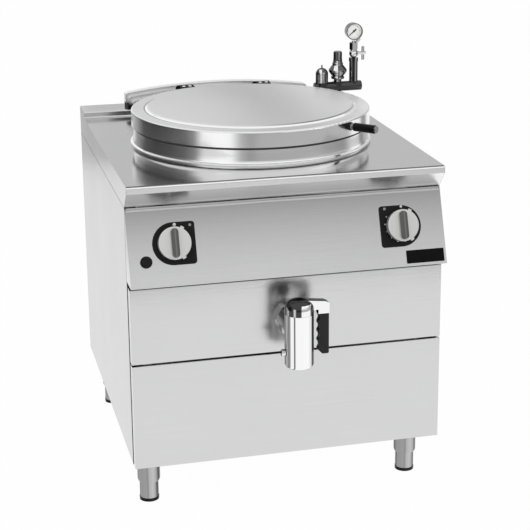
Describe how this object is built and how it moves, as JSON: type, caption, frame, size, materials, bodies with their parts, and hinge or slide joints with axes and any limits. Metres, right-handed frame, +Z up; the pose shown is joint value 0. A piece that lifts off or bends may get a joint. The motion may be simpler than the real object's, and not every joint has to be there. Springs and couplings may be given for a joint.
{
  "type": "boiling pan",
  "caption": "Round indirect boiling pan in a stainless cabinet with hinged lid, swivel draw-off tap, rotary controls, stepped flue hood and pressure safety group.",
  "frame": {"origin": "on the floor, at the middle of the footprint of the bounding box", "axes": "+Z up, -Y towards the front with the tap, +X to the right seen from the front"},
  "size_m": [0.8, 1.022, 1.137],
  "materials": {
    "steel_panel": "brushed",
    "steel_polished": "polished",
    "steel_plain": "mill finish",
    "frame_paint": "satin paint",
    "wool": "mineral wool",
    "cast": "raw casting",
    "valve_alloy": "cast",
    "black_plastic": "matte black",
    "gloss_black": "gloss black",
    "silver_plastic": "silver",
    "gas_tube": "drawn tube",
    "chrome": "bright chrome",
    "brass": "machined",
    "black_metal": "black enamel",
    "seal_rubber": "grey rubber",
    "dial_white": "white enamel",
    "gauge_glass": "clear"
  },
  "bodies": {
    "pan": {"worktop": "steel_polished", "side_panel_left": "steel_panel", "side_panel_right": "steel_panel", "rear_panel": "steel_plain", "chassis": "frame_paint", "control_console": "steel_panel", "drain_panel": "steel_panel", "lower_front_panel": "steel_panel", "flue_hood": "steel_panel", "flue_hood_blocks": "black_metal", "flue_duct": "steel_plain", "kettle": "steel_polished", "kettle_neck": "steel_polished", "steam_jacket": "steel_plain", "insulation": "wool", "drain_pipe": "steel_plain", "burner": "cast", "gas_valve": "valve_alloy", "energy_regulator": "black_plastic", "gas_pipework": "gas_tube", "hinge_posts": "steel_polished", "hinge_axles": "steel_polished", "tap_flange": "chrome", "tap_body": "chrome", "tap_locking_screw": "chrome", "bezel_left": "black_plastic", "bezel_right": "black_plastic", "igniter_housing": "black_plastic", "steam_riser": "steel_polished", "safety_manifold": "chrome", "vacuum_valve": "brass", "safety_valve_body": "chrome", "gauge_column": "chrome", "gauge_cock": "chrome", "gauge_case": "chrome", "gauge_dial": "dial_white", "gauge_glass": "gauge_glass", "foot_sleeves": "steel_panel"},
    "lid": {"lid_shell": "steel_panel", "lid_liner": "steel_panel", "lid_seal": "seal_rubber", "lid_handle_rod": "chrome", "lid_handle_grip": "gloss_black", "hinge_brackets": "black_metal", "hinge_screws": "chrome"},
    "tap_lever": {"tap_plug": "brass", "tap_cap": "chrome", "tap_grip": "black_plastic"},
    "gas_shaft": {"gas_spindle": "steel_plain"},
    "gas_control": {"gas_knob": "silver_plastic"},
    "heat_control": {"regulator_knob": "silver_plastic", "regulator_spindle": "steel_plain"},
    "igniter": {"igniter_button": "black_plastic"},
    "cock": {"gauge_cock_handle": "chrome"},
    "pointer": {"gauge_pointer": "black_metal"},
    "relief_cap": {"safety_valve_cap": "black_plastic"},
    "vacuum_pin": {"vacuum_valve_pin": "chrome"},
    "front_left_foot": {"foot_front_left": "steel_panel"},
    "front_right_foot": {"foot_front_right": "steel_panel"},
    "rear_left_foot": {"foot_rear_left": "steel_panel"},
    "rear_right_foot": {"foot_rear_right": "steel_panel"}
  },
  "joints": [
    {"name": "lid_hinge", "type": "hinge", "parent": "pan", "child": "lid", "pos_m": [0, 0.372, 0.948], "axis": [-1, 0, 0], "range_deg": [0, 88]},
    {"name": "tap_turn", "type": "hinge", "parent": "pan", "child": "tap_lever", "pos_m": [0, -0.475, 0.549], "axis": [0, 0, -1], "range_deg": [0, 90]},
    {"name": "gas_turn", "type": "hinge", "parent": "pan", "child": "gas_shaft", "pos_m": [-0.288, -0.38381, 0.72162], "axis": [0, -0.938, 0.3466], "range_deg": [0, 180]},
    {"name": "gas_push", "type": "slide", "parent": "gas_shaft", "child": "gas_control", "axis": [0, 0.938, -0.3466], "range_m": [0, 0.004], "stiffness_N_per_m": 800, "springref_m": -0.004},
    {"name": "heat_turn", "type": "hinge", "parent": "pan", "child": "heat_control", "pos_m": [0.288, -0.38381, 0.72162], "axis": [0, -0.938, 0.3466], "range_deg": [0, 270]},
    {"name": "igniter_push", "type": "slide", "parent": "pan", "child": "igniter", "axis": [0, 0.938, -0.3466], "range_m": [0, 0.005], "stiffness_N_per_m": 400, "springref_m": -0.005},
    {"name": "cock_turn", "type": "hinge", "parent": "pan", "child": "cock", "pos_m": [0.362, 0.2755, 1.045], "axis": [1, 0, 0], "range_deg": [0, 90]},
    {"name": "pointer_turn", "type": "hinge", "parent": "pan", "child": "pointer", "pos_m": [0.362, 0.2635, 1.109], "axis": [0, 1, 0], "range_deg": [0, 262], "stiffness_Nm_per_rad": 0.002, "springref_deg": -17.19},
    {"name": "relief_lift", "type": "slide", "parent": "pan", "child": "relief_cap", "axis": [0, 0, 1], "range_m": [0, 0.003], "stiffness_N_per_m": 1500, "springref_m": -0.01},
    {"name": "vacuum_sink", "type": "slide", "parent": "pan", "child": "vacuum_pin", "axis": [0, 0, -1], "range_m": [0, 0.004], "stiffness_N_per_m": 100, "springref_m": -0.004},
    {"name": "front_left_foot_screw", "type": "slide", "parent": "pan", "child": "front_left_foot", "axis": [0, 0, -1], "range_m": [0, 0.03]},
    {"name": "front_right_foot_screw", "type": "slide", "parent": "pan", "child": "front_right_foot", "axis": [0, 0, -1], "range_m": [0, 0.03]},
    {"name": "rear_left_foot_screw", "type": "slide", "parent": "pan", "child": "rear_left_foot", "axis": [0, 0, -1], "range_m": [0, 0.03]},
    {"name": "rear_right_foot_screw", "type": "slide", "parent": "pan", "child": "rear_right_foot", "axis": [0, 0, -1], "range_m": [0, 0.03]}
  ]
}
